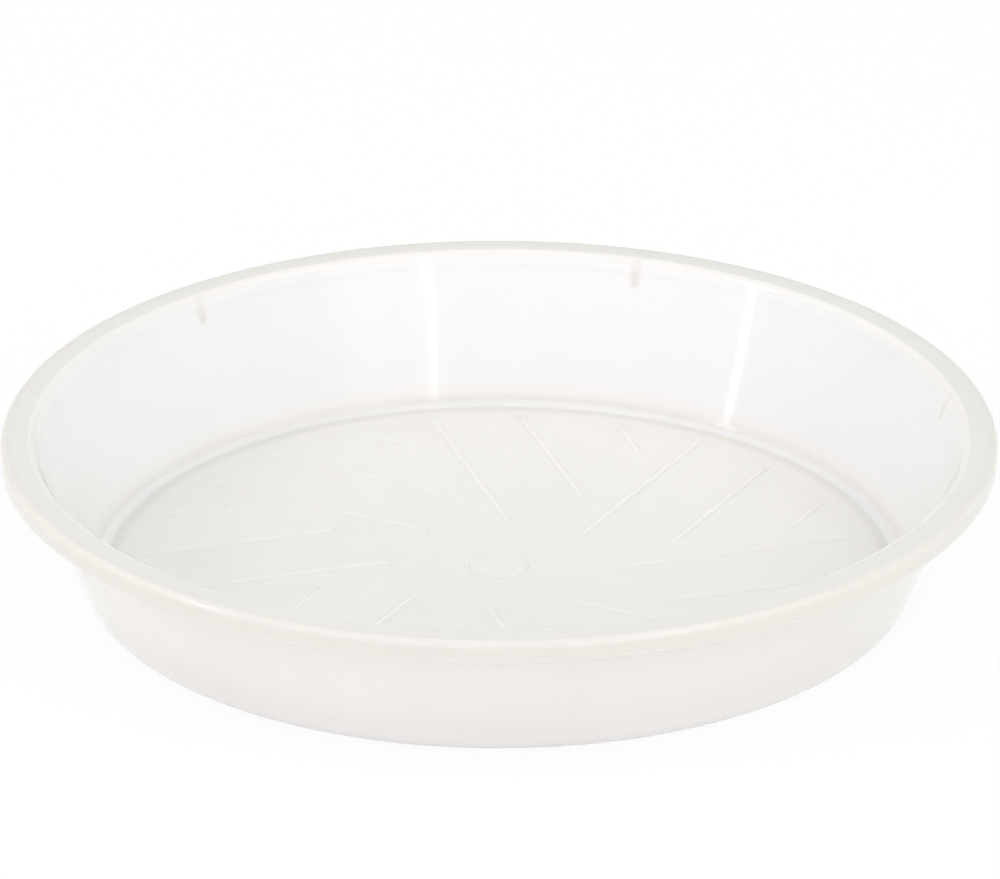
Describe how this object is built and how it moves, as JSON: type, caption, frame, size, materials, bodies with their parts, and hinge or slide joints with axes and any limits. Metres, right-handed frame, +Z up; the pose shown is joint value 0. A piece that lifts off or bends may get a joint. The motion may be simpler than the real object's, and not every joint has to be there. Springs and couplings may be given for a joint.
{
  "type": "plant saucer",
  "caption": "Round translucent plastic plant saucer with a sloping wall, a rim turned outwards, gussets under the rim and low ribs on the floor that keep a pot out of the water.",
  "frame": {"origin": "on the table, below the middle of the floor", "axes": "+Z up along the saucer's axis, -Y towards the viewer of the picture, +X to that viewer's right"},
  "size_m": [0.2, 0.2, 0.031],
  "materials": {
    "milky_plastic": "natural milky polypropylene, translucent, smooth from the mould"
  },
  "bodies": {
    "root": {"floor_plate": "milky_plastic", "gate_mark": "milky_plastic", "rib_fan_1": "milky_plastic", "rib_fan_2": "milky_plastic", "rib_fan_3": "milky_plastic", "rib_fan_4": "milky_plastic", "rib_fan_5": "milky_plastic", "rib_fan_6": "milky_plastic", "rib_fan_7": "milky_plastic", "rib_fan_8": "milky_plastic", "rim_flange": "milky_plastic", "side_wall": "milky_plastic", "stacking_lug_1": "milky_plastic", "stacking_lug_2": "milky_plastic", "stacking_lug_3": "milky_plastic", "stacking_lug_4": "milky_plastic", "stacking_lug_5": "milky_plastic", "stacking_lug_6": "milky_plastic"}
  },
  "joints": []
}
